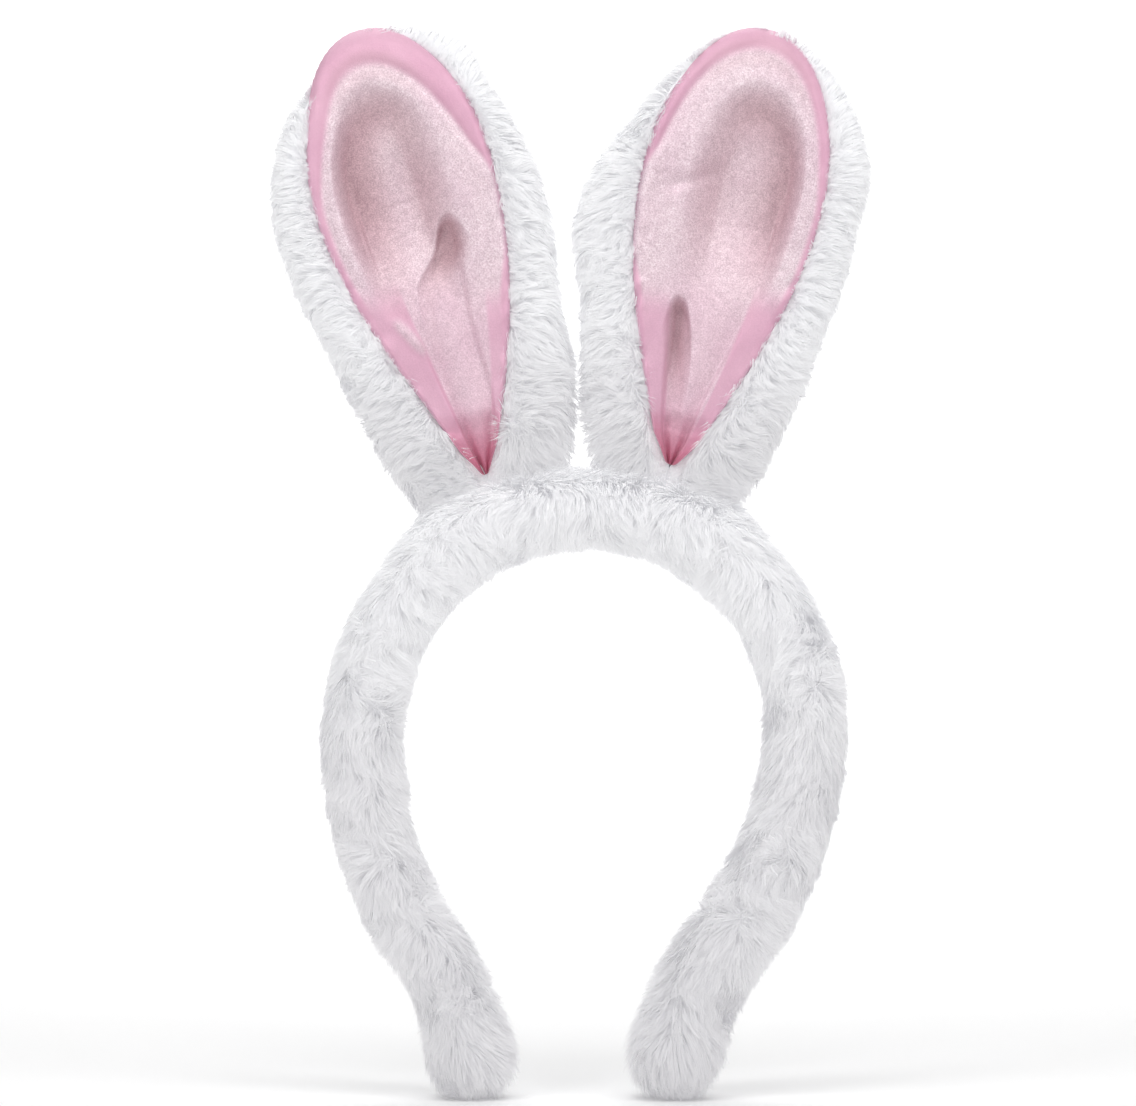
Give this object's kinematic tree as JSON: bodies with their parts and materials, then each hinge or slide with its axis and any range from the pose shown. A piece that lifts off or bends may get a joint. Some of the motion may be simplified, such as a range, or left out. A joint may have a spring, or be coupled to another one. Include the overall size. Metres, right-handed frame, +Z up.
{
  "type": "animal ears headband",
  "caption": "Plush-covered padded headband with a pair of upright, wired plush bunny ears that have satin inner faces, for costume wear.",
  "frame": {"origin": "underside of the band at the top of its arch, the point that rests on the crown of the head", "axes": "+Z up, from the band's tips towards the ears; the ears' satin faces look along -Y; +X across the band, towards the right-hand ear as seen from the satin side"},
  "size_m": [0.1724, 0.0296, 0.3164],
  "materials": {
    "plush": "matte",
    "satin": "satin",
    "fibrefill": "matte",
    "foam": "matte",
    "plastic": "matte",
    "wire": "satin",
    "thread_white": "matte",
    "thread_pink": "satin"
  },
  "bodies": {
    "crown": {"plush_sleeve_crown": "plush", "foam_wrap_crown": "foam", "band_core_crown": "plastic", "sleeve_seam_crown": "thread_white", "left_wire_anchor": "wire", "left_ear_base_stitch": "thread_white", "right_wire_anchor": "wire", "right_ear_base_stitch": "thread_white"},
    "left_arm": {"plush_sleeve_left": "plush", "foam_wrap_left": "foam", "band_core_left": "plastic", "sleeve_seam_left": "thread_white"},
    "right_arm": {"plush_sleeve_right": "plush", "foam_wrap_right": "foam", "band_core_right": "plastic", "sleeve_seam_right": "thread_white"},
    "left_ear": {"left_ear_plush_lower": "plush", "left_ear_lining_lower": "satin", "left_ear_pad_lower": "fibrefill", "left_ear_wire_lower": "wire", "left_ear_seam_lower": "thread_pink"},
    "left_ear_tip": {"left_ear_plush_upper": "plush", "left_ear_lining_upper": "satin", "left_ear_pad_upper": "fibrefill", "left_ear_wire_upper": "wire", "left_ear_seam_upper": "thread_pink"},
    "right_ear": {"right_ear_plush_lower": "plush", "right_ear_lining_lower": "satin", "right_ear_pad_lower": "fibrefill", "right_ear_wire_lower": "wire", "right_ear_seam_lower": "thread_pink"},
    "right_ear_tip": {"right_ear_plush_upper": "plush", "right_ear_lining_upper": "satin", "right_ear_pad_upper": "fibrefill", "right_ear_wire_upper": "wire", "right_ear_seam_upper": "thread_pink"}
  },
  "joints": [
    {"name": "left_arm_flex", "type": "hinge", "parent": "crown", "child": "left_arm", "pos_m": [-0.0564, 0, -0.01901], "axis": [0, 1, 0], "range_deg": [-4, 15], "stiffness_Nm_per_rad": 0.6},
    {"name": "right_arm_flex", "type": "hinge", "parent": "crown", "child": "right_arm", "pos_m": [0.0564, 0, -0.01901], "axis": [0, -1, 0], "range_deg": [-4, 15], "stiffness_Nm_per_rad": 0.6},
    {"name": "left_ear_tilt", "type": "hinge", "parent": "crown", "child": "left_ear", "pos_m": [-0.02878, 0, 0.02139], "axis": [0.9755, 0, 0.2198], "range_deg": [-45, 45]},
    {"name": "left_ear_tip_bend", "type": "hinge", "parent": "left_ear", "child": "left_ear_tip", "pos_m": [-0.04545, 0, 0.09533], "axis": [0.9755, 0, 0.2198], "range_deg": [-25, 70]},
    {"name": "right_ear_tilt", "type": "hinge", "parent": "crown", "child": "right_ear", "pos_m": [0.02878, 0, 0.02139], "axis": [0.9755, 0, -0.2198], "range_deg": [-45, 45]},
    {"name": "right_ear_tip_bend", "type": "hinge", "parent": "right_ear", "child": "right_ear_tip", "pos_m": [0.04545, 0, 0.09533], "axis": [0.9755, 0, -0.2198], "range_deg": [-25, 70]}
  ]
}
